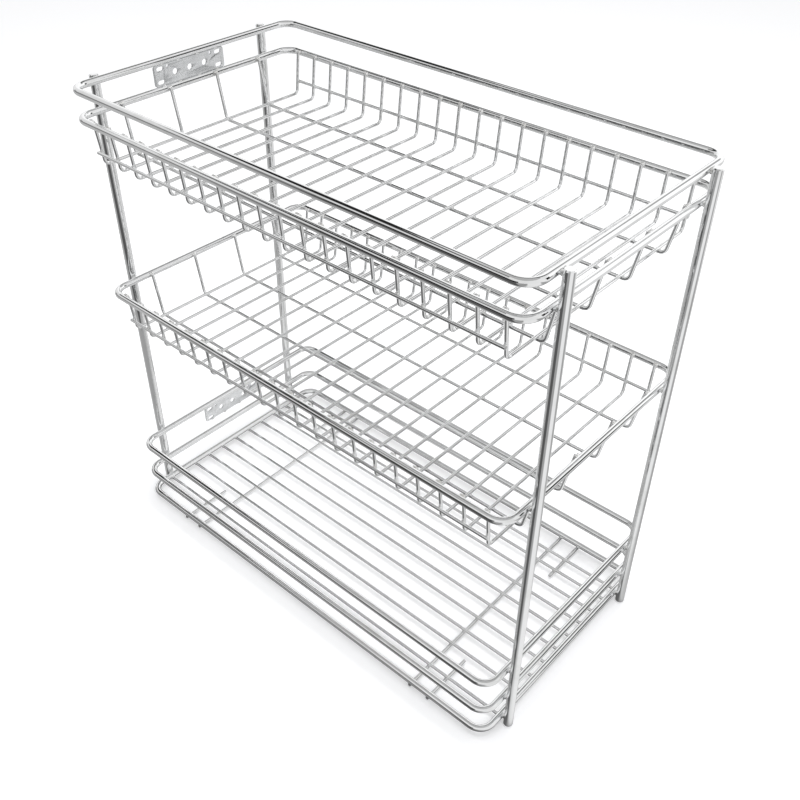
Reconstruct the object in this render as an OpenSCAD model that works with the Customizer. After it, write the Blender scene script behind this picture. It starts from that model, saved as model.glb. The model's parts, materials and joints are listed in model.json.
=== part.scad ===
// Three-level pull-out wire basket for a narrow base cabinet.
// +Z is up, +Y runs to the back of the cabinet, and the door end is at -Y.
// The origin is on the floor plane of the posts' feet, at the middle of the frame.
// Every wire is placed by its centre line. Wires that cross are tangent, where they are welded.

/* [Frame] */
// Width between the centre lines of a ring's long sides
ring_width = 232; // [220:1:420]
// Length between the centre lines of a ring's short sides
ring_length = 440; // [360:1:560]
// Corner radius of a ring, at its centre line
ring_corner_r = 13.5; // [10:0.5:16]
// Diameter of the rods that the rings are bent from
ring_wire_d = 6; // [5:0.5:8]
// Diameter of the upright posts
post_d = 8; // [6:0.5:12]
// Distance of each post from the centre line of the long side beside it
post_inset = 27; // [24:1:60]
// Chamfer on both ends of each post
post_chamfer = 0.8; // [0.2:0.1:2]

/* [Ring heights] */
// Height of the guard ring's centre line above that of the top basket's rim
guard_rise = 24; // [22:0.5:34]
// Height of the centre line of the top basket's rim
top_rim_z = 412; // [360:1:600]
// Height of the centre line of the middle basket's rim
middle_rim_z = 250.5; // [200:0.5:320]
// Height of the centre line of the tray's upper ring
tray_upper_z = 70; // [60:1:90]
// Height of the centre line of the tray's middle ring
tray_middle_z = 34.5; // [25:0.5:38]
// Height of the centre line of the tray's base ring
tray_base_z = 8; // [6:0.5:14]

/* [Baskets] */
// Diameter of the baskets' wires
mesh_wire_d = 2.8; // [2:0.1:3.5]
// Depth from a rim's centre line to the centre line of its floor wires
basket_depth = 36.5; // [33:0.5:38]
// Height of the wire ends above the rim's centre line
wire_rise = 1; // [0:0.5:2.5]
// Number of cross wires in each basket
cross_wire_count = 20; // [12:1:28]
// Distance of the first and the last cross wire from the centre line of the short side beside it
end_wire_inset = 17.3; // [17:0.1:70]
// Lean of the long walls, in degrees
long_wall_lean = 6; // [0:0.5:9]
// Bend radius at the foot of the long walls, at the centre line
long_wall_bend_r = 4.5; // [3:0.5:10]
// Distance of the inner long wires from the middle
inner_long_wire_x = 25; // [15:0.5:40]
// Distance of the outer long wires from the centre line of the long side beside them
outer_long_wire_inset = 41.5; // [36:0.5:60]
// Lean of the short walls, in degrees
short_wall_lean = 11; // [0:0.5:11.5]
// Bend radius at the foot of the short walls, at the centre line
short_wall_bend_r = 5.5; // [3:0.5:6]
// Height of the faint ridge that bending leaves round a wire where its wall begins
bend_ridge = 0.05; // [0.03:0.01:0.1]
// Depth of the side wires below the rim's centre line
side_wire_depth = 26; // [12:0.5:26.5]
// Length of the side wires past the first and the last cross wire
side_wire_overrun = 1.6; // [1.5:0.1:3]

/* [Tray] */
// Diameter of the tray's floor wires, cross wires and seat wires
tray_wire_d = 3; // [2.5:0.5:4]
// Number of floor wires in the close middle row
floor_row_count = 8; // [4:1:8]
// Distance from one floor wire to the next in the middle row
floor_row_pitch = 19.2; // [12:0.1:19.4]
// Distance that the middle row sits off centre, towards the left side
floor_row_shift = 6.7; // [0:0.1:8]
// Distance of the outer floor wires from the centre line of the long side beside them
outer_floor_wire_inset = 24.7; // [20:0.1:30]
// Distance of the full cross wires from the centre line of the short side beside them
tray_cross_wire_inset = 78; // [70:1:160]
// Distance of the short seat wires from the centre line of the short side beside them
seat_wire_inset = 58; // [25:1:64]
// Length of each short seat wire
seat_wire_length = 52; // [40:1:60]
// Length that the cross and seat wires stand back from the rings' outer sides
tray_wire_setback = 1; // [0:0.5:3]

/* [Door plates] */
// Width of each plate
plate_width = 75; // [70:1:100]
// Thickness of each plate
plate_t = 1.5; // [1:0.1:2.5]
// Corner radius of each plate
plate_corner_r = 2.5; // [0.5:0.5:4]
// Diameter of the three round holes
plate_hole_d = 5.2; // [3:0.1:6.5]
// Distance from one round hole to the next
plate_hole_pitch = 15.7; // [10:0.1:16]
// End-to-end length of the corner slots
slot_length = 7; // [5:0.5:8]
// Width of the corner slots
slot_width = 3.4; // [2:0.1:4]
// Distance of a slot's centre from the plate's side
slot_inset_x = 6.5; // [5:0.1:9]
// Distance of a slot's centre from the plate's upper or lower edge
slot_inset_z = 3.3; // [3:0.1:5]
// Diameter of the two small weld holes near the upper edge
weld_hole_d = 2.4; // [1:0.1:3]
// Distance of each weld hole from the plate's side
weld_hole_inset = 14.5; // [13:0.1:16]
// Distance of the weld holes below the plate's upper edge
weld_hole_drop = 2.4; // [2:0.1:3]

/* [Hidden] */
$fn = 48;
ring_r = ring_wire_d / 2;
mesh_r = mesh_wire_d / 2;
tray_r = tray_wire_d / 2;
guard_ring_z = top_rim_z + guard_rise;
post_h = guard_ring_z + ring_r;
post_x = ring_width / 2 - post_inset;
post_y = ring_length / 2 + ring_r + post_d / 2;

// A wall wire leans in against the inner side of the rim. These are the distances of its
// centre line from the middle of the basket at the rim's height, one for each pair of walls.
long_wall_x = ring_width / 2 - (ring_r + mesh_r) / cos(long_wall_lean);
short_wall_y = ring_length / 2 - (ring_r + mesh_r) / cos(short_wall_lean);
cross_wire_span = ring_length - 2 * end_wire_inset;
long_wire_depth = basket_depth + mesh_wire_d;
outer_long_wire_x = ring_width / 2 - outer_long_wire_inset;
long_wire_x = [-outer_long_wire_x, -inner_long_wire_x, inner_long_wire_x, outer_long_wire_x];
side_wire_x = long_wall_x - side_wire_depth * tan(long_wall_lean) + mesh_wire_d / cos(long_wall_lean);
side_wire_length = cross_wire_span + 2 * side_wire_overrun;

floor_wire_z = tray_base_z - ring_r + tray_r;
under_wire_z = tray_base_z - ring_r - tray_r;
under_wire_end_x = ring_width / 2 + ring_r - tray_wire_setback;
floor_row_x = [for (i = [0 : floor_row_count - 1])
    (i - (floor_row_count - 1) / 2) * floor_row_pitch - floor_row_shift];
outer_floor_wire_x = ring_width / 2 - outer_floor_wire_inset;
floor_wire_x = concat([-outer_floor_wire_x], floor_row_x, [outer_floor_wire_x]);
tray_cross_wire_y = ring_length / 2 - tray_cross_wire_inset;
seat_wire_y = ring_length / 2 - seat_wire_inset;

plate_height = guard_rise - ring_wire_d;
slot_x = plate_width / 2 - slot_inset_x;
slot_z = plate_height / 2 - slot_inset_z;
weld_hole_x = plate_width / 2 - weld_hole_inset;
plate_y = -ring_length / 2;
upper_plate_z = top_rim_z + guard_rise / 2;
lower_plate_z = tray_upper_z - ring_r - plate_height / 2;

// The chain of a bent wire joins where lengths meet to the thousandth
function round_to_micron(length) = round(length * 1000) / 1000;

// A straight wire along X, centred on the origin
module wire_along_x(length, d) {
    rotate([0, 90, 0]) cylinder(h = length, d = d, center = true);
}

// A straight wire along Y, centred on the origin
module wire_along_y(length, d) {
    rotate([90, 0, 0]) cylinder(h = length, d = d, center = true);
}

// A rounded rectangle of round rod in the XY plane, centred on the origin
module ring() {
    straight_x = ring_width - 2 * ring_corner_r;
    straight_y = ring_length - 2 * ring_corner_r;
    for (side = [-1, 1]) {
        translate([0, side * ring_length / 2, 0]) wire_along_x(straight_x, ring_wire_d);
        translate([side * ring_width / 2, 0, 0]) wire_along_y(straight_y, ring_wire_d);
    }
    for (flip_x = [0, 1], flip_y = [0, 1]) mirror([flip_x, 0, 0]) mirror([0, flip_y, 0])
        translate([straight_x / 2, straight_y / 2, 0]) rotate_extrude(angle = 90)
            translate([ring_corner_r, 0]) circle(d = ring_wire_d);
}

// A wire bent to a U with leaning walls, in the XZ plane. The origin is at the rim's height,
// reach is the wall's distance from the middle there, and depth is down to the floor's centre line.
// Each half is a chain: the floor, then the bend, then the wall from where the bend ends.
module u_wire(reach, depth, lean, bend_r) {
    turn = 90 - lean;
    bend_reach = bend_r * tan(turn / 2);
    floor_half = round_to_micron(reach - depth * tan(lean) - bend_reach);
    wall_length = (depth + wire_rise) / cos(lean) - bend_reach;
    translate([0, 0, -depth]) wire_along_x(2 * floor_half, mesh_wire_d);
    for (flip = [0, 1]) mirror([flip, 0, 0]) translate([floor_half, 0, bend_r - depth])
        rotate([90, 0, 0]) rotate([0, 0, -90]) {
            rotate_extrude(angle = turn) translate([bend_r, 0]) circle(d = mesh_wire_d);
            rotate([0, 0, turn]) translate([bend_r, 0, 0]) {
                rotate([-90, 0, 0]) cylinder(h = wall_length, d = mesh_wire_d);
                sphere(d = mesh_wire_d + 2 * bend_ridge);
            }
        }
}

module post(side_x, side_y) {
    color("silver") translate([side_x * post_x, side_y * post_y, 0]) rotate_extrude() polygon([
        [0, 0], [post_d / 2 - post_chamfer, 0], [post_d / 2, post_chamfer],
        [post_d / 2, post_h - post_chamfer], [post_d / 2 - post_chamfer, post_h], [0, post_h]]);
}

module ring_at(z) {
    color("silver") translate([0, 0, z]) ring();
}

module basket_cross_wires(rim_z) {
    pitch = cross_wire_span / (cross_wire_count - 1);
    color("gainsboro") for (i = [0 : cross_wire_count - 1])
        translate([0, i * pitch - cross_wire_span / 2, rim_z])
            u_wire(long_wall_x, basket_depth, long_wall_lean, long_wall_bend_r);
}

module basket_long_wire(rim_z, number) {
    color("gainsboro") translate([long_wire_x[number - 1], 0, rim_z]) rotate([0, 0, 90])
        u_wire(short_wall_y, long_wire_depth, short_wall_lean, short_wall_bend_r);
}

module basket_side_wire(rim_z, side) {
    color("gainsboro") translate([side * side_wire_x, 0, rim_z - side_wire_depth])
        wire_along_y(side_wire_length, mesh_wire_d);
}

// A floor wire butts against the inner side of the base ring, flush with the ring underneath
module tray_floor_wire(number) {
    color("gainsboro") translate([floor_wire_x[number - 1], 0, floor_wire_z])
        wire_along_y(ring_length - ring_wire_d, tray_wire_d);
}

module tray_cross_wire(side_y) {
    color("gainsboro") translate([0, side_y * tray_cross_wire_y, under_wire_z])
        wire_along_x(2 * under_wire_end_x, tray_wire_d);
}

module seat_wire(side_x, side_y) {
    color("gainsboro") translate([side_x * (under_wire_end_x - seat_wire_length / 2),
        side_y * seat_wire_y, under_wire_z]) wire_along_x(seat_wire_length, tray_wire_d);
}

// The plate's outline, a rectangle with round corners, drawn in the plane of its face
module plate_outline() {
    core_width = plate_width - 2 * plate_corner_r;
    core_height = plate_height - 2 * plate_corner_r;
    square([core_width, plate_height], center = true);
    square([plate_width, core_height], center = true);
    for (side_x = [-1, 1], side_z = [-1, 1])
        translate([side_x * core_width / 2, side_z * core_height / 2]) circle(r = plate_corner_r);
}

// A slot with round ends, lying across the plate
module slot() {
    run = slot_length - slot_width;
    square([run, slot_width], center = true);
    for (side = [-1, 1]) translate([side * run / 2, 0]) circle(d = slot_width);
}

module door_plate(z) {
    color("lightgray") translate([0, plate_y, z]) rotate([90, 0, 0])
        linear_extrude(plate_t, center = true) difference() {
            plate_outline();
            for (i = [-1 : 1]) translate([i * plate_hole_pitch, 0]) circle(d = plate_hole_d);
            for (side_x = [-1, 1], side_z = [-1, 1])
                translate([side_x * slot_x, side_z * slot_z]) slot();
            for (side = [-1, 1]) translate([side * weld_hole_x, plate_height / 2 - weld_hole_drop])
                circle(d = weld_hole_d);
        }
}

post(-1, -1);  // front_left_post
post(1, -1);  // front_right_post
post(-1, 1);  // rear_left_post
post(1, 1);  // rear_right_post
ring_at(guard_ring_z);  // guard_ring
ring_at(top_rim_z);  // top_basket_rim
ring_at(middle_rim_z);  // middle_basket_rim
ring_at(tray_upper_z);  // tray_upper_ring
ring_at(tray_middle_z);  // tray_middle_ring
ring_at(tray_base_z);  // tray_base_ring
basket_cross_wires(top_rim_z);  // top_basket_cross_wires
basket_side_wire(top_rim_z, -1);  // top_basket_left_side_wire
basket_side_wire(top_rim_z, 1);  // top_basket_right_side_wire
basket_cross_wires(middle_rim_z);  // middle_basket_cross_wires
basket_side_wire(middle_rim_z, -1);  // middle_basket_left_side_wire
basket_side_wire(middle_rim_z, 1);  // middle_basket_right_side_wire
for (i = [1 : 4]) {
    basket_long_wire(top_rim_z, i);
    basket_long_wire(middle_rim_z, i);
}
for (i = [1 : len(floor_wire_x)])
    tray_floor_wire(i);
tray_cross_wire(-1);  // tray_front_cross_wire
tray_cross_wire(1);  // tray_rear_cross_wire
seat_wire(-1, -1);  // front_left_seat_wire
seat_wire(1, -1);  // front_right_seat_wire
seat_wire(-1, 1);  // rear_left_seat_wire
seat_wire(1, 1);  // rear_right_seat_wire
door_plate(upper_plate_z);  // upper_door_plate
door_plate(lower_plate_z);  // lower_door_plate
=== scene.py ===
"""Looks of a pull-out cabinet basket: chromed rods and wires, weld beads, door plates, studio.

The axes are the part's: +X right and +Y back as seen from the door end, and +Z up.
"""

import json
import logging
import math
from collections.abc import Callable
from dataclasses import dataclass
from enum import Enum

import bmesh
import bpy
from mathutils import Matrix, Vector

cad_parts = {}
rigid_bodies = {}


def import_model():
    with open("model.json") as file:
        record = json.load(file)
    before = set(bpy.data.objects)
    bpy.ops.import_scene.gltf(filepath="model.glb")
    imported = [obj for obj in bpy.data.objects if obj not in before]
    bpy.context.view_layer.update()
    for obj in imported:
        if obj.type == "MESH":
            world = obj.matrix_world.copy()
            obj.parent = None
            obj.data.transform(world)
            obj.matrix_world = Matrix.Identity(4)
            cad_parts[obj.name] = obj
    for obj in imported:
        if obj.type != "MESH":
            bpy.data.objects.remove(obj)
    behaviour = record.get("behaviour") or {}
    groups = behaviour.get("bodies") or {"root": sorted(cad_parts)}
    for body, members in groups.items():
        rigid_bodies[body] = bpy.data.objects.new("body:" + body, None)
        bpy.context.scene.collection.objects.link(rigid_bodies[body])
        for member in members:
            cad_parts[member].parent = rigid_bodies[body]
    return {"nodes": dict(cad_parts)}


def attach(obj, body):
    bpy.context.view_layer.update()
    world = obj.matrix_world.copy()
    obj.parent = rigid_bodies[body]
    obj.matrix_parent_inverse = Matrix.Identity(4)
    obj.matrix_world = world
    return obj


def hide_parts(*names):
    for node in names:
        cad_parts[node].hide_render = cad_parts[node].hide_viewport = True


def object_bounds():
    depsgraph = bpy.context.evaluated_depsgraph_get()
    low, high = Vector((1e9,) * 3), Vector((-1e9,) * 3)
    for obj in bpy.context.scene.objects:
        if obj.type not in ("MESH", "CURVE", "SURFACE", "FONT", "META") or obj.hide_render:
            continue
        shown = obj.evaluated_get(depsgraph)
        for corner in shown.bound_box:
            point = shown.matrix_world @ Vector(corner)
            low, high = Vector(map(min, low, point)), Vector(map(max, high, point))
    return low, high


for leftover in list(bpy.data.objects):
    bpy.data.objects.remove(leftover)
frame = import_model()
CAD_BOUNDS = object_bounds()

Point = tuple[float, float, float]
Colour = tuple[float, float, float]
Band = tuple[float, float]
Socket = bpy.types.NodeSocket
Input = float | tuple[float, ...] | Socket

LOG = logging.getLogger("basket")
BODY = "root"
MM = 0.001
HALF_TURN = 180.0
ORIGIN: Point = (0.0, 0.0, 0.0)
X_AXIS: Point = (1.0, 0.0, 0.0)
Y_AXIS: Point = (0.0, 1.0, 0.0)
Z_AXIS: Point = (0.0, 0.0, 1.0)
WHITE: Colour = (1.0, 1.0, 1.0)
SIDES = (-1.0, 1.0)
CORNERS = ("front_left", "front_right", "rear_left", "rear_right")

# Anything smaller counts as zero.
TINY = 1e-6

# How high the middle of each rod ring is, in mm.
RING_LEVELS = {
    "guard_ring": 436.0,
    "top_basket_rim": 412.0,
    "middle_basket_rim": 250.5,
    "tray_upper_ring": 70.0,
    "tray_middle_ring": 34.5,
    "tray_base_ring": 8.0,
}


def deselect_all() -> None:
    """Deselect every object, because the loaded nodes come in selected."""
    bpy.ops.object.select_all(action="DESELECT")


def make_active(piece: bpy.types.Object) -> None:
    """Select one object alone and make it active.

    Args:
        piece: The object that the next operators act on.
    """
    deselect_all()
    piece.select_set(True)
    bpy.context.view_layer.objects.active = piece


def apply_modifiers(piece: bpy.types.Object) -> None:
    """Apply all modifiers of a piece, in their order.

    Args:
        piece: The object whose modifiers are applied.
    """
    make_active(piece)
    for modifier in list(piece.modifiers):
        bpy.ops.object.modifier_apply(modifier=modifier.name)


def join_pieces(pieces: list[bpy.types.Object], name: str) -> bpy.types.Object:
    """Join objects into one and name it.

    Args:
        pieces: The objects, two or more, all at the origin.
        name: Name of the joined object and of its mesh.

    Returns:
        The joined object, which is active.
    """
    make_active(pieces[0])
    for piece in pieces:
        piece.select_set(True)
    bpy.ops.object.join()
    joined = bpy.context.view_layer.objects.active
    joined.name = name
    joined.data.name = name
    return joined


class EditMode:
    """Edit mode on one object, with selection by place."""

    def __init__(self, piece: bpy.types.Object) -> None:
        """Remember the object.

        Args:
            piece: The mesh object to edit.
        """
        self.piece = piece

    def __enter__(self) -> "EditMode":
        """Enter edit mode with nothing selected."""
        make_active(self.piece)
        bpy.ops.object.mode_set(mode="EDIT")
        bpy.ops.mesh.select_mode(type="VERT")
        bpy.ops.mesh.select_all(action="DESELECT")
        return self

    def __exit__(self, *problem: object) -> None:
        """Go back to object mode."""
        bpy.ops.object.mode_set(mode="OBJECT")

    def pick_points(self, wanted: Callable[[Vector], bool]) -> None:
        """Select the vertices whose place passes a test.

        Args:
            wanted: Takes a vertex's place and says whether to select it.
        """
        mesh = bmesh.from_edit_mesh(self.piece.data)
        for vertex in mesh.verts:
            vertex.select = wanted(vertex.co)
        mesh.select_flush_mode()
        bmesh.update_edit_mesh(self.piece.data)

    def pick_edges(self, wanted: Callable[[Vector, Vector], bool]) -> None:
        """Select the edges whose two ends pass a test.

        Args:
            wanted: Takes the places of both ends and says whether to select the edge.
        """
        bpy.ops.mesh.select_mode(type="EDGE")
        mesh = bmesh.from_edit_mesh(self.piece.data)
        for edge in mesh.edges:
            edge.select = wanted(edge.verts[0].co, edge.verts[1].co)
        mesh.select_flush_mode()
        bmesh.update_edit_mesh(self.piece.data)


class Mixed(Enum):
    """What a Mix node mixes: its data type, and the places of its two inputs and its output."""

    NUMBERS = ("FLOAT", 2, 3, 0)
    COLOURS = ("RGBA", 6, 7, 2)


class Desk:
    """A node tree under construction."""

    def __init__(self, tree: bpy.types.NodeTree) -> None:
        """Clear the tree.

        Args:
            tree: The node tree to build in.
        """
        self.tree = tree
        tree.nodes.clear()

    def add(self, kind: str, **sockets: Input) -> bpy.types.Node:
        """Add a node and fill its inputs by name.

        Args:
            kind: The node's type.
            sockets: Values or output sockets by input name, with _ for a space.

        Returns:
            The new node.
        """
        node = self.tree.nodes.new(kind)
        for name, value in sockets.items():
            self.feed(node.inputs[name.replace("_", " ")], value)
        return node

    def feed(self, target: Socket, value: Input) -> None:
        """Link an output to an input, or write a plain value into it.

        Args:
            target: The input socket.
            value: An output socket, a number, a colour or a vector.
        """
        if isinstance(value, Socket):
            self.tree.links.new(value, target)
        elif isinstance(value, tuple) and target.type == "RGBA":
            target.default_value = (*value, 1.0)
        else:
            target.default_value = value

    def fill(self, node: bpy.types.Node, *values: Input) -> Socket:
        """Fill a node's first inputs in their order.

        Args:
            node: The node.
            values: Values or output sockets.

        Returns:
            The node's first output.
        """
        for target, value in zip(node.inputs, values):
            self.feed(target, value)
        return node.outputs[0]

    def sums(self, operation: str, *values: Input) -> Socket:
        """Add a Math node.

        Args:
            operation: The node's operation.
            values: As many inputs as the operation takes.

        Returns:
            The node's result.
        """
        node = self.add("ShaderNodeMath")
        node.operation = operation
        return self.fill(node, *values)

    def beyond(self, value: Socket, half: float) -> Socket:
        """Work out how far a value lies beyond a limit on either side of zero.

        Args:
            value: The value.
            half: The limit.

        Returns:
            The distance, which is below zero between the limits.
        """
        return self.sums("SUBTRACT", self.sums("ABSOLUTE", value), half)

    def ease(self, value: Socket, start: float, end: float, low: float = 0.0,
             high: float = 1.0) -> Socket:
        """Ease a result from low to high as a value goes from start to end.

        Args:
            value: The value.
            start: Where the change starts.
            end: Where the change ends.
            low: Result at the start and before it.
            high: Result at the end and after it.

        Returns:
            The eased result.
        """
        node = self.add("ShaderNodeMapRange", Value=value, From_Min=start, From_Max=end,
                        To_Min=low, To_Max=high)
        node.interpolation_type = "SMOOTHSTEP"
        return node.outputs["Result"]

    def fade(self, value: Socket, start: float, end: float) -> Socket:
        """Ease a result from 1 to 0 as a value goes from start to end.

        Args:
            value: The value.
            start: Where the fall starts.
            end: Where the fall ends.

        Returns:
            The eased result.
        """
        return self.ease(value, start, end, 1.0, 0.0)

    def noise(self, vector: Socket, scale: float, detail: float) -> Socket:
        """Add a noise pattern.

        Args:
            vector: The coordinates.
            scale: Features per metre.
            detail: Octaves of finer detail.

        Returns:
            The noise's value, from 0 to 1.
        """
        node = self.add("ShaderNodeTexNoise", Vector=vector, Scale=scale, Detail=detail)
        return node.outputs["Fac"]

    def mix(self, factor: Socket, first: Input, second: Input,
            mixed: Mixed = Mixed.NUMBERS) -> Socket:
        """Mix two numbers or two colours.

        Args:
            factor: 0 for the first, 1 for the second.
            first: A number, a linear colour or an output socket.
            second: The same kind of value.
            mixed: Which of the kinds they are.

        Returns:
            The mixed value.
        """
        data_type, first_place, second_place, result_place = mixed.value
        node = self.add("ShaderNodeMix")
        node.data_type = data_type
        for place, value in ((0, factor), (first_place, first), (second_place, second)):
            self.feed(node.inputs[place], value)
        return node.outputs[result_place]

    def choose(self, factor: Socket, first: Socket, second: Socket) -> Socket:
        """Choose between two shaders.

        Args:
            factor: 0 for the first, 1 for the second.
            first: A shader.
            second: Another shader.

        Returns:
            The chosen shader.
        """
        return self.fill(self.add("ShaderNodeMixShader"), factor, first, second)


class Drawn(Enum):
    """Which way a piece was drawn or rolled: how much finer its lines are on each axis."""

    UPRIGHT = (1.0, 1.0, 0.02)
    LEVEL_RING = (0.03, 0.03, 1.0)
    CROSSWAYS = (0.02, 1.0, 0.03)
    LENGTHWAYS = (1.0, 0.02, 0.03)
    SHEET = (0.03, 1.0, 1.0)


@dataclass(frozen=True)
class Chrome:
    """Chrome plating: bright metal with draw lines, handling haze, ripple and pits.

    Depths are in metres. A band is the stretch of a noise's values over which its mark comes in.
    """

    name: str
    drawn: Drawn
    bright: Colour = (0.90, 0.905, 0.91)
    hazy: Colour = (0.80, 0.805, 0.80)
    smooth: float = 0.02
    rough: float = 0.065
    lines_per_metre: float = 1500.0
    line_detail: float = 4.0
    line_depth: float = 0.0000025
    streak_band: Band = (0.35, 0.75)
    streak_share: float = 0.6
    ripple_per_metre: float = 110.0
    ripple_detail: float = 2.0
    ripple_depth: float = 0.00002
    haze_per_metre: float = 38.0
    haze_detail: float = 5.0
    haze_band: Band = (0.45, 0.70)
    pits_per_metre: float = 2400.0
    pit_detail: float = 1.0
    pit_band: Band = (0.74, 0.80)
    wear_share: float = 0.8

    def material(self) -> bpy.types.Material:
        """Build the finish, or find it if it is there already.

        Returns:
            The material.
        """
        if self.name in bpy.data.materials:
            return bpy.data.materials[self.name]
        material = bpy.data.materials.new(self.name)
        material.use_nodes = True
        desk = Desk(material.node_tree)
        place = desk.add("ShaderNodeTexCoord").outputs["Object"]
        along = desk.add("ShaderNodeMapping", Vector=place, Scale=self.drawn.value)
        lines = desk.noise(along.outputs["Vector"], self.lines_per_metre, self.line_detail)
        ripple = desk.noise(place, self.ripple_per_metre, self.ripple_detail)
        haze = desk.ease(desk.noise(place, self.haze_per_metre, self.haze_detail),
                         *self.haze_band)
        pits = desk.ease(desk.noise(place, self.pits_per_metre, self.pit_detail),
                         *self.pit_band)
        worn = desk.sums("MAXIMUM", haze, pits)
        streak = desk.ease(lines, *self.streak_band)
        roughness = desk.sums(
            "ADD",
            desk.ease(worn, 0.0, 1.0, self.smooth, self.rough),
            desk.sums("MULTIPLY", streak, self.smooth * self.streak_share),
        )
        soft = desk.add("ShaderNodeBump", Height=ripple, Distance=self.ripple_depth, Strength=1.0)
        fine = desk.add("ShaderNodeBump", Height=lines, Distance=self.line_depth, Strength=1.0,
                        Normal=soft.outputs["Normal"])
        colour = desk.mix(desk.sums("MULTIPLY", worn, self.wear_share), self.bright, self.hazy,
                          Mixed.COLOURS)
        metal = desk.add("ShaderNodeBsdfPrincipled", Base_Color=colour, Metallic=1.0,
                         Roughness=roughness, Normal=fine.outputs["Normal"])
        desk.add("ShaderNodeOutputMaterial", Surface=metal.outputs["BSDF"])
        return material


POST_CHROME = Chrome("post_chrome", Drawn.UPRIGHT)
RING_CHROME = Chrome("ring_chrome", Drawn.LEVEL_RING)
CROSS_CHROME = Chrome("cross_wire_chrome", Drawn.CROSSWAYS, lines_per_metre=2600.0)
LONG_CHROME = Chrome("long_wire_chrome", Drawn.LENGTHWAYS, lines_per_metre=2600.0)
WELD_CHROME = Chrome("weld_chrome", Drawn.LEVEL_RING, bright=(0.92, 0.92, 0.915),
                     hazy=(0.74, 0.73, 0.70), smooth=0.12, rough=0.28, ripple_per_metre=900.0,
                     ripple_depth=0.00003)
PLATE_CHROME = Chrome("plate_chrome", Drawn.SHEET, bright=(0.80, 0.81, 0.82),
                      hazy=(0.70, 0.71, 0.72), smooth=0.15, rough=0.27, lines_per_metre=1800.0,
                      line_depth=0.000006, ripple_per_metre=70.0, ripple_depth=0.00006,
                      haze_per_metre=60.0)


def dress_node(node: str, finish: Chrome) -> None:
    """Give a loaded node its finish.

    Args:
        node: The node's name.
        finish: The finish for all its material slots.
    """
    for holder in frame["nodes"][node].material_slots:
        holder.material = finish.material()
    LOG.info("dressed %s with %s", node, finish.name)


@dataclass(frozen=True)
class BeadSize:
    """Size of a weld bead, in mm: how far it spreads from its middle, and half its height."""

    reach: float
    height: float


@dataclass(frozen=True)
class Crossing:
    """A place, in mm, where two pieces touch, with the directions and the size of its bead."""

    place: Point
    normal: Point
    along: Point
    bead: BeadSize


@dataclass
class WeldBead:
    """The small cushion of fused metal in the four corners of a crossing.

    A point's cornering is 0 over a wire and 0.5 midway between two. The lobes are where it is
    above lobe_from, and the waists where it is below waist_below.
    """

    segments: int = 8
    rings: int = 6
    lobe: float = 1.22
    lobe_from: float = 0.3
    waist: float = 0.82
    waist_below: float = 0.1

    @staticmethod
    def cornering(place: Vector) -> float:
        """Say how far a point lies between the wires.

        Args:
            place: The point, on a bead of radius 1.

        Returns:
            From 0 over a wire to 0.5 midway between two.
        """
        return abs(place.x * place.y) / max(place.x ** 2 + place.y ** 2, TINY)

    def model(self) -> bpy.types.Object:
        """Shape one bead of radius 1: drawn out in each corner, drawn in over the wires.

        Returns:
            The bead, to be copied.
        """
        deselect_all()
        bpy.ops.mesh.primitive_uv_sphere_add(segments=self.segments, ring_count=self.rings)
        bead = bpy.context.active_object
        with EditMode(bead) as edit:
            edit.pick_points(lambda place: self.cornering(place) > self.lobe_from)
            bpy.ops.transform.resize(value=(self.lobe, self.lobe, 1.0), center_override=ORIGIN)
            edit.pick_points(lambda place: self.cornering(place) < self.waist_below)
            bpy.ops.transform.resize(value=(self.waist, self.waist, 1.0), center_override=ORIGIN)
        return bead

    def lay(self, crossings: list[Crossing], name: str) -> None:
        """Lay a bead on every crossing and join them into one piece.

        Args:
            crossings: Where the beads go.
            name: Name of the piece.
        """
        master = self.model()
        copies = []
        for spot in crossings:
            normal = Vector(spot.normal)
            along = Vector(spot.along)
            across = normal.cross(along)
            reach = spot.bead.reach * MM
            turn = Matrix((along * reach, across * reach,
                           normal * spot.bead.height * MM)).transposed().to_4x4()
            turn.translation = Vector(spot.place) * MM
            mesh = master.data.copy()
            mesh.transform(turn)
            copy = bpy.data.objects.new(name, mesh)
            bpy.context.scene.collection.objects.link(copy)
            copies.append(copy)
        bpy.data.objects.remove(master)
        piece = join_pieces(copies, name)
        bpy.ops.object.shade_smooth()
        piece.data.materials.append(WELD_CHROME.material())
        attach(piece, BODY)
        LOG.info("laid %d beads in %s", len(crossings), name)


@dataclass
class RodFrame:
    """The six rod rings and the four corner posts that carry them, in mm."""

    post_x: float = 89.0
    touch_y: float = 223.0
    bead: BeadSize = BeadSize(2.7, 1.7)

    def crossings(self) -> list[Crossing]:
        """List where the posts touch the rings."""
        return [Crossing((side * self.post_x, end * self.touch_y, level), Y_AXIS, X_AXIS, self.bead)
                for level in RING_LEVELS.values() for side in SIDES for end in SIDES]

    def build(self) -> None:
        """Dress the rods and weld the posts to the rings."""
        for corner in CORNERS:
            dress_node(f"{corner}_post", POST_CHROME)
        for node in RING_LEVELS:
            dress_node(node, RING_CHROME)
        WeldBead().lay(self.crossings(), "post_welds")


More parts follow.
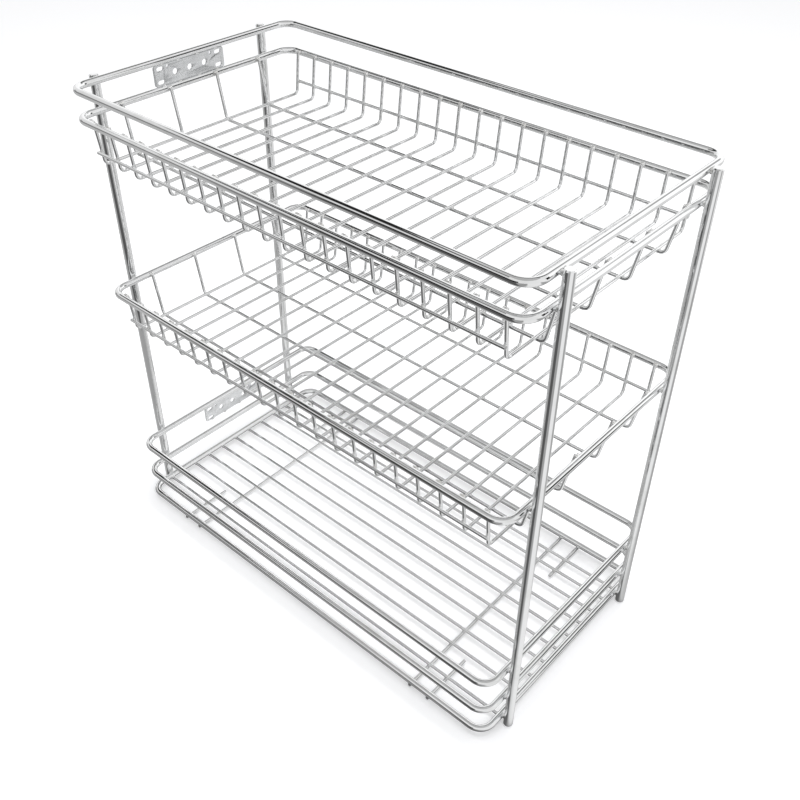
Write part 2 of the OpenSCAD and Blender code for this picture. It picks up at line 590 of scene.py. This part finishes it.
@dataclass
class HangingBasket:
    """One basket of thin wire that hangs from a rim, in mm."""

    name: str
    cross_count: int = 20
    cross_span: float = 405.4
    long_x: tuple[float, ...] = (-74.5, -25.0, 25.0, 74.5)
    rim_touch_x: float = 113.0
    rim_touch_y: float = 217.0
    rim_touch_rise: float = 0.7
    side_touch_x: float = 110.3
    side_touch_drop: float = 26.0
    floor_touch_drop: float = 37.9
    bead: BeadSize = BeadSize(1.55, 0.8)
    rim_bead: BeadSize = BeadSize(2.3, 1.7)

    def crossings(self) -> list[Crossing]:
        """List every place where two wires of the basket, or a wire and the rim, touch."""
        rim_level = RING_LEVELS[f"{self.name}_rim"]
        rim_touch = rim_level + self.rim_touch_rise
        side_touch = rim_level - self.side_touch_drop
        floor_touch = rim_level - self.floor_touch_drop
        pitch = self.cross_span / (self.cross_count - 1)
        spots = []
        for row in range(self.cross_count):
            y = row * pitch - self.cross_span / 2
            for side in SIDES:
                spots.append(Crossing((side * self.rim_touch_x, y, rim_touch), X_AXIS, Y_AXIS,
                                      self.rim_bead))
                spots.append(Crossing((side * self.side_touch_x, y, side_touch), X_AXIS, Y_AXIS,
                                      self.bead))
            for x in self.long_x:
                spots.append(Crossing((x, y, floor_touch), Z_AXIS, X_AXIS, self.bead))
        for x in self.long_x:
            for end in SIDES:
                spots.append(Crossing((x, end * self.rim_touch_y, rim_touch), Y_AXIS, X_AXIS,
                                      self.rim_bead))
        return spots

    def build(self) -> None:
        """Dress the basket's wires and weld its crossings."""
        dress_node(f"{self.name}_cross_wires", CROSS_CHROME)
        for number in range(1, len(self.long_x) + 1):
            dress_node(f"{self.name}_long_wire_{number}", LONG_CHROME)
        for side in ("left", "right"):
            dress_node(f"{self.name}_{side}_side_wire", LONG_CHROME)
        WeldBead().lay(self.crossings(), f"{self.name}_welds")


@dataclass
class BottleTray:
    """The railed tray at the bottom, with its floor wires and the wires under them, in mm.

    Floor wires further out than seat_inner_x cross a seat wire too.
    """

    row_count: int = 8
    row_pitch: float = 19.2
    row_shift: float = -6.7
    outer_x: float = 91.3
    floor_level: float = 6.5
    floor_end_y: float = 217.0
    cross_y: float = 142.0
    seat_y: float = 162.0
    seat_inner_x: float = 66.0
    touch_level: float = 5.0
    ring_x: float = 116.0
    bead: BeadSize = BeadSize(1.7, 0.85)
    end_bead: BeadSize = BeadSize(1.87, 0.85)

    def floor_x(self) -> list[float]:
        """List the floor wires from left to right: the shifted row and the two outer wires."""
        middle = (self.row_count - 1) / 2
        row = [(number - middle) * self.row_pitch + self.row_shift
               for number in range(self.row_count)]
        return [-self.outer_x, *row, self.outer_x]

    def crossings(self) -> list[Crossing]:
        """List every weld of the tray's own wires and of their ends on the base ring."""
        under = (Z_AXIS, X_AXIS, self.bead)
        spots = []
        for end in SIDES:
            for x in self.floor_x():
                spots.append(Crossing((x, end * self.cross_y, self.touch_level), *under))
                spots.append(Crossing((x, end * self.floor_end_y, self.floor_level), Y_AXIS,
                                      X_AXIS, self.end_bead))
                if abs(x) > self.seat_inner_x:
                    spots.append(Crossing((x, end * self.seat_y, self.touch_level), *under))
            for side in SIDES:
                for y in (end * self.cross_y, end * self.seat_y):
                    spots.append(Crossing((side * self.ring_x, y, self.touch_level), *under))
        return spots

    def build(self) -> None:
        """Dress the tray's wires and weld its crossings."""
        for number in range(1, len(self.floor_x()) + 1):
            dress_node(f"tray_floor_wire_{number}", LONG_CHROME)
        for end in ("front", "rear"):
            dress_node(f"tray_{end}_cross_wire", CROSS_CHROME)
        for corner in CORNERS:
            dress_node(f"{corner}_seat_wire", CROSS_CHROME)
        WeldBead().lay(self.crossings(), "tray_welds")


@dataclass
class DoorPlate:
    """A punched plate that hangs close under a ring and carries the door front, in mm."""

    node: str
    ring: str
    ring_radius: float = 3.0
    width: float = 75.0
    height: float = 18.0
    thickness: float = 1.5
    centre_y: float = -220.0
    corner: float = 2.5
    corner_steps: int = 6
    hole_radius: float = 2.6
    hole_pitch: float = 15.7
    slot_radius: float = 1.7
    slot_length: float = 7.0
    slot_x: float = 31.0
    slot_z: float = 5.7
    plug_radius: float = 1.2
    plug_x: float = 23.0
    plug_drop: float = 2.4
    punch_length: float = 6.0
    punch_vertices: int = 32
    edge: float = 0.16
    edge_steps: int = 2
    edge_angle: float = 50.0
    smooth_angle: float = 40.0
    bead_x: tuple[float, ...] = (-29.0, -9.0, 12.0, 29.0)
    bead: BeadSize = BeadSize(2.0, 0.8)

    @property
    def level(self) -> float:
        """How high the plate's middle is."""
        return RING_LEVELS[self.ring] - self.ring_radius - self.height / 2

    def blank(self) -> bpy.types.Object:
        """Cut the sheet: a thin block with round corners.

        Returns:
            The blank, standing in its place.
        """
        deselect_all()
        bpy.ops.mesh.primitive_cube_add(size=1.0)
        sheet = bpy.context.active_object
        size = (self.width * MM, self.thickness * MM, self.height * MM)
        with EditMode(sheet) as edit:
            bpy.ops.mesh.select_all(action="SELECT")
            bpy.ops.transform.resize(value=size, center_override=ORIGIN)
            edit.pick_edges(lambda a, b: abs(a.y - b.y) > abs(a.x - b.x) + abs(a.z - b.z))
            bpy.ops.mesh.bevel(offset=self.corner * MM, segments=self.corner_steps,
                               affect="EDGES")
            bpy.ops.mesh.select_all(action="SELECT")
            bpy.ops.transform.translate(value=(0.0, self.centre_y * MM, self.level * MM))
        return sheet

    def punch(self, x: float, z: float, radius: float, length: float) -> bpy.types.Object:
        """Make one punch: a round bar, or one drawn out sideways for a slot.

        Args:
            x: Centre across the plate.
            z: Centre above the plate's middle.
            radius: Radius of its ends.
            length: Whole length of the hole.

        Returns:
            The punch, which cuts right through.
        """
        deselect_all()
        bpy.ops.mesh.primitive_cylinder_add(vertices=self.punch_vertices, radius=radius * MM,
                                            depth=self.punch_length * MM,
                                            rotation=(math.pi / 2, 0.0, 0.0))
        bar = bpy.context.active_object
        bpy.ops.object.transform_apply(location=True, rotation=True, scale=True)
        stretch = (length / 2 - radius) * MM
        with EditMode(bar) as edit:
            if stretch > 0:
                for side in SIDES:
                    edit.pick_points(lambda place, side=side: place.x * side > TINY)
                    bpy.ops.transform.translate(value=(side * stretch, 0.0, 0.0))
            bpy.ops.mesh.select_all(action="SELECT")
            bpy.ops.transform.translate(value=(x * MM, self.centre_y * MM,
                                               (self.level + z) * MM))
        return bar

    def punches(self) -> bpy.types.Object:
        """Make the punches for the row of holes, the slots and the plug welds.

        Returns:
            All the punches as one object.
        """
        holes = [(x, 0.0, self.hole_radius, 2 * self.hole_radius)
                 for x in (-self.hole_pitch, 0.0, self.hole_pitch)]
        slots = [(side * self.slot_x, rise * self.slot_z, self.slot_radius, self.slot_length)
                 for side in SIDES for rise in SIDES]
        plugs = [(side * self.plug_x, self.height / 2 - self.plug_drop, self.plug_radius,
                  2 * self.plug_radius) for side in SIDES]
        bars = [self.punch(*place) for place in holes + slots + plugs]
        return join_pieces(bars, f"{self.node}_punches")

    def press(self) -> bpy.types.Object:
        """Punch the blank and round its edges.

        Returns:
            The pressed plate, without its finish.
        """
        sheet = self.blank()
        punches = self.punches()
        cut = sheet.modifiers.new("cut", "BOOLEAN")
        cut.operation = "DIFFERENCE"
        cut.solver = "EXACT"
        cut.object = punches
        rounding = sheet.modifiers.new("rounding", "BEVEL")
        rounding.width = self.edge * MM
        rounding.segments = self.edge_steps
        rounding.limit_method = "ANGLE"
        rounding.angle_limit = math.radians(self.edge_angle)
        apply_modifiers(sheet)
        bpy.data.objects.remove(punches)
        make_active(sheet)
        bpy.ops.object.shade_smooth_by_angle(angle=math.radians(self.smooth_angle))
        return sheet

    def crossings(self) -> list[Crossing]:
        """List the welds along the plate's upper and lower edges."""
        return [Crossing((x, self.centre_y, self.level + rise * self.height / 2), Z_AXIS, X_AXIS,
                         self.bead)
                for x in self.bead_x for rise in SIDES]

    def build(self) -> None:
        """Press the plate, dress it in the place of its node, and lay its weld beads."""
        sheet = self.press()
        sheet.name = f"{self.node}_pressing"
        sheet.data.name = sheet.name
        sheet.data.materials.clear()
        sheet.data.materials.append(PLATE_CHROME.material())
        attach(sheet, BODY)
        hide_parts(self.node)
        WeldBead().lay(self.crossings(), f"{self.node}_welds")
        LOG.info("pressed %s", sheet.name)


@dataclass(frozen=True)
class SkyPatch:
    """A soft-edged patch of the sky, in degrees: from +X towards +Y, and above the horizon."""

    azimuth: float
    half_width: float
    low: float
    high: float
    tone: float
    soft: float

    def mask(self, desk: Desk, turn: Socket, climb: Socket) -> Socket:
        """Say where the patch covers the sky.

        Args:
            desk: The world's node tree.
            turn: The azimuth of a direction, in degrees.
            climb: Its height above the horizon, in degrees.

        Returns:
            1 inside the patch, 0 outside it.
        """
        off = desk.sums("SUBTRACT", turn, self.azimuth)
        away = desk.sums("ABSOLUTE", desk.sums("WRAP", off, HALF_TURN, -HALF_TURN))
        beside = desk.fade(away, self.half_width, self.half_width + self.soft)
        below = desk.ease(climb, self.low - self.soft, self.low)
        above = desk.fade(climb, self.high, self.high + self.soft)
        return desk.sums("MULTIPLY", beside, desk.sums("MULTIPLY", below, above))


@dataclass
class StudioSky:
    """The studio above the floor: it lights the frame and is reflected in the chrome.

    A later patch covers the earlier ones. The camera itself sees plain white.
    """

    base_tone: float = 0.85
    patches: tuple[SkyPatch, ...] = (
        SkyPatch(114.0, 11.0, -90.0, 60.0, 0.90, 3.0),  # back, light and tall
        SkyPatch(182.0, 43.0, -90.0, 37.0, 1.15, 3.0),  # left, bright and wide
        SkyPatch(207.0, 26.0, 41.0, 57.0, 0.13, 4.0),  # left, a dark band above the bright patch
        SkyPatch(179.0, 10.0, 29.0, 38.0, 0.40, 4.0),  # left, grey at the bright patch's top
        SkyPatch(130.5, 7.0, -16.0, 26.0, 0.03, 2.0),  # back left, a black upright
        SkyPatch(235.0, 10.0, -90.0, 36.0, 1.05, 4.0),  # front left, a bright upright
        SkyPatch(300.0, 19.0, -90.0, 15.0, 0.24, 4.0),  # front right, dark and low
        SkyPatch(300.0, 26.0, 18.0, 36.0, 0.75, 3.0),  # front right, pale grey above the dark
        SkyPatch(345.0, 25.0, -90.0, 17.0, 0.02, 2.0),  # right, black and low
        SkyPatch(268.0, 34.0, 41.0, 54.0, 0.02, 2.5),  # front, a high black band
        SkyPatch(311.0, 8.0, 41.0, 54.0, 0.16, 4.0),  # front right, the band's paler end
        SkyPatch(0.0, 180.0, 60.0, 90.0, 0.50, 3.0),  # overhead, grey
    )

    def build(self) -> None:
        """Build the world."""
        world = bpy.data.worlds.new("studio")
        bpy.context.scene.world = world
        world.use_nodes = True
        desk = Desk(world.node_tree)
        heading = desk.add("ShaderNodeSeparateXYZ",
                           Vector=desk.add("ShaderNodeTexCoord").outputs["Generated"])
        x, y, z = (heading.outputs[name] for name in "XYZ")
        climb = desk.sums("MULTIPLY", desk.sums("ARCSINE", z), math.degrees(1.0))
        turn = desk.sums("MULTIPLY", desk.sums("ARCTAN2", y, x), math.degrees(1.0))
        tone: Input = self.base_tone
        for patch in self.patches:
            tone = desk.mix(patch.mask(desk, turn, climb), tone, patch.tone)
        sky = desk.add("ShaderNodeBackground", Color=WHITE, Strength=tone)
        white = desk.add("ShaderNodeBackground", Color=WHITE, Strength=1.0)
        seen = desk.add("ShaderNodeLightPath").outputs["Is Camera Ray"]
        desk.add("ShaderNodeOutputWorld",
                 Surface=desk.choose(seen, sky.outputs[0], white.outputs[0]))


@dataclass(frozen=True)
class PaintedFloorReflection:
    """How light the floor looks in the chrome, place by place, in metres and degrees.

    Everywhere it is a painted reflection: a glow of painted tones that only glossy rays see.
    Under the frame it goes from light at the front to grey at the back, as painted shade. Beyond
    the frame every side has its own tone, with a grey stretch at the back left. A dark wedge opens
    from the back right corner, and a painted shadow band follows the tray's rings. A Band is where
    a change starts and where it ends.
    """

    right_tone: float = 0.36
    back_tone: float = 0.88
    left_tone: float = 0.76
    front_tone: float = 0.50
    left_to_right: Band = (-0.15, 0.15)
    front_to_back: Band = (-0.30, 0.30)
    sides_to_ends: Band = (-0.06, 0.06)
    stretch_tone: float = 0.38
    stretch_starts: Band = (-0.58, -0.42)
    stretch_stops: Band = (-0.14, 0.0)
    # Painted shade under the frame: light at the front, grey at the back.
    under_front_tone: float = 0.90
    under_back_tone: float = 0.44
    under_change: Band = (-0.2, 0.1)
    frame_edge: Band = (-0.015, 0.01)
    # Painted dark reflection: a wedge of low tone from the back right corner.
    wedge_tone: float = 0.10
    wedge_apex: tuple[float, float] = (0.105, 0.227)
    wedge_azimuth: float = -23.0
    wedge_half: float = 26.0
    wedge_soft_share: float = 0.1
    wedge_starts: Band = (0.0, 0.02)
    # Painted shadow: the tray rings' contact shadow, as a dark band in the painted reflection.
    ring_shadow_tone: float = 0.12
    ring_shadow_half: tuple[float, float] = (0.116, 0.220)
    ring_shadow_fade: Band = (0.005, 0.016)

    def beyond_tone(self, desk: Desk, x: Socket, y: Socket, endwise: Socket) -> Socket:
        """Work out the tone beyond the frame.

        Args:
            desk: The floor material's node tree.
            x: The place's x.
            y: The place's y.
            endwise: How much further out the place lies in y than in x.

        Returns:
            The tone.
        """
        beside = desk.ease(x, *self.left_to_right, self.left_tone, self.right_tone)
        behind = desk.mix(desk.ease(x, *self.stretch_starts), self.back_tone,
                          desk.ease(x, *self.stretch_stops, self.stretch_tone, self.back_tone))
        at_ends = desk.mix(desk.ease(y, *self.front_to_back), self.front_tone, behind)
        return desk.mix(desk.ease(endwise, *self.sides_to_ends), beside, at_ends)

    def wedge(self, desk: Desk, x: Socket, y: Socket, away: Socket) -> Socket:
        """Say where the dark wedge is.

        Args:
            desk: The floor material's node tree.
            x: The place's x.
            y: The place's y.
            away: How far the place lies outside the frame.

        Returns:
            1 inside the wedge, 0 outside it.
        """
        from_x = desk.sums("SUBTRACT", x, self.wedge_apex[0])
        from_y = desk.sums("SUBTRACT", y, self.wedge_apex[1])
        turn = desk.sums("ARCTAN2", from_y, from_x)
        off = desk.sums("ABSOLUTE", desk.sums("SUBTRACT", turn, math.radians(self.wedge_azimuth)))
        half = math.radians(self.wedge_half)
        inside = desk.fade(off, half * (1 - self.wedge_soft_share),
                           half * (1 + self.wedge_soft_share))
        return desk.sums("MULTIPLY", inside, desk.ease(away, *self.wedge_starts))

    def tone(self, desk: Desk) -> Socket:
        """Work out the painted tone, painted shade and shadow included.

        Args:
            desk: The floor material's node tree.

        Returns:
            The tone at the place that is shaded.
        """
        place = desk.add("ShaderNodeSeparateXYZ",
                         Vector=desk.add("ShaderNodeTexCoord").outputs["Object"])
        x, y = place.outputs["X"], place.outputs["Y"]
        beyond_x = desk.beyond(x, CAD_BOUNDS[1].x)
        beyond_y = desk.beyond(y, CAD_BOUNDS[1].y)
        away = desk.sums("MAXIMUM", beyond_x, beyond_y)
        outer = self.beyond_tone(desk, x, y, desk.sums("SUBTRACT", beyond_y, beyond_x))
        # Painted shade under the frame.
        under = desk.ease(y, *self.under_change, self.under_front_tone, self.under_back_tone)
        tone = desk.mix(desk.ease(away, *self.frame_edge), under, outer)
        tone = desk.mix(self.wedge(desk, x, y, away), tone, self.wedge_tone)
        # Painted shadow band, darkest right under the tray's rings.
        off_ring_shadow = desk.sums("ABSOLUTE", desk.sums("MAXIMUM", desk.beyond(x, self.ring_shadow_half[0]),
                                                    desk.beyond(y, self.ring_shadow_half[1])))
        return desk.mix(desk.fade(off_ring_shadow, *self.ring_shadow_fade), tone, self.ring_shadow_tone)


@dataclass
class StudioFloor:
    """A pale floor that keeps a soft shadow, and that glows for glossy rays with a painted
    reflection.
    """

    size: float = 9.0
    colour: Colour = (0.86, 0.865, 0.88)
    lift: float = 0.30
    painted_reflection: PaintedFloorReflection = PaintedFloorReflection()

    def material(self) -> bpy.types.Material:
        """Build the floor's finish, which glows a little for the camera so that it is near white.

        Returns:
            The material.
        """
        material = bpy.data.materials.new("studio_floor")
        material.use_nodes = True
        desk = Desk(material.node_tree)
        path = desk.add("ShaderNodeLightPath")
        matte = desk.add("ShaderNodeBsdfDiffuse", Color=self.colour)
        glow = desk.add("ShaderNodeEmission", Color=WHITE,
                        Strength=desk.sums("MULTIPLY", path.outputs["Is Camera Ray"], self.lift))
        lit = desk.fill(desk.add("ShaderNodeAddShader"), matte.outputs[0], glow.outputs[0])
        # Painted reflection: glossy rays see the floor glow with painted tones, painted shade and
        # shadow among them, not its lit self.
        painted_reflection = desk.add("ShaderNodeEmission", Color=WHITE, Strength=self.painted_reflection.tone(desk))
        choice = desk.choose(path.outputs["Is Glossy Ray"], lit, painted_reflection.outputs[0])
        desk.add("ShaderNodeOutputMaterial", Surface=choice)
        return material

    def build(self) -> None:
        """Lay the floor under the posts' feet."""
        deselect_all()
        bpy.ops.mesh.primitive_plane_add(size=self.size)
        sheet = bpy.context.active_object
        sheet.name = "studio_floor"
        sheet.data.materials.append(self.material())


@dataclass
class StudioLamp:
    """One large soft lamp high over the frame, a little to its left, in metres and watts."""

    power: float = 18.0
    size: float = 0.95
    place: Point = (-0.15, 0.0, 1.7)

    def build(self) -> None:
        """Hang the lamp, turned to the origin and not reflected in the chrome."""
        light = bpy.data.lights.new("overhead", "AREA")
        light.shape = "SQUARE"
        light.size = self.size
        light.energy = self.power
        hanger = bpy.data.objects.new("overhead", light)
        hanger.location = self.place
        hanger.rotation_euler = Vector(self.place).to_track_quat("Z", "Y").to_euler()
        hanger.visible_glossy = False
        bpy.context.scene.collection.objects.link(hanger)


@dataclass
class StudioCamera:
    """The camera, where the photograph was taken from, in metres, degrees and mm of lens."""

    place: Point = (0.498062, 0.459186, 0.708373)
    azimuth: float = 41.0785
    elevation: float = 38.2734
    roll: float = 0.6341
    lens: float = 42.853
    sensor_width: float = 36.0

    def placing(self) -> Matrix:
        """Work out how the camera stands.

        Returns:
            Its world matrix.
        """
        azimuth, climb, roll = (math.radians(angle) for angle in (
            self.azimuth, self.elevation, self.roll))
        back = Vector((math.cos(climb) * math.cos(azimuth), math.cos(climb) * math.sin(azimuth),
                       math.sin(climb)))
        right = (-back).cross(Vector(Z_AXIS)).normalized()
        up = right.cross(-back)
        side = right * math.cos(roll) + up * math.sin(roll)
        top = up * math.cos(roll) - right * math.sin(roll)
        placing = Matrix((side, top, back)).transposed().to_4x4()
        placing.translation = Vector(self.place)
        return placing

    def build(self) -> None:
        """Set the camera up."""
        view = bpy.data.cameras.new("view")
        view.lens = self.lens
        view.sensor_width = self.sensor_width
        holder = bpy.data.objects.new("view", view)
        holder.matrix_world = self.placing()
        bpy.context.scene.collection.objects.link(holder)
        bpy.context.scene.camera = holder


class Studio:
    """The camera, the sky, the floor and the lamp."""

    def build(self) -> None:
        """Set up the whole studio."""
        StudioCamera().build()
        StudioSky().build()
        StudioFloor().build()
        StudioLamp().build()
        bpy.context.scene.view_settings.view_transform = "Standard"
        LOG.info("studio ready")


def main() -> None:
    """Build the studio and every sub-assembly."""
    logging.basicConfig(level=logging.INFO, format="%(name)s: %(message)s")
    Studio().build()
    RodFrame().build()
    HangingBasket("top_basket").build()
    HangingBasket("middle_basket").build()
    BottleTray().build()
    DoorPlate("upper_door_plate", "guard_ring").build()
    DoorPlate("lower_door_plate", "tray_upper_ring").build()


if __name__ == "__main__":
    main()
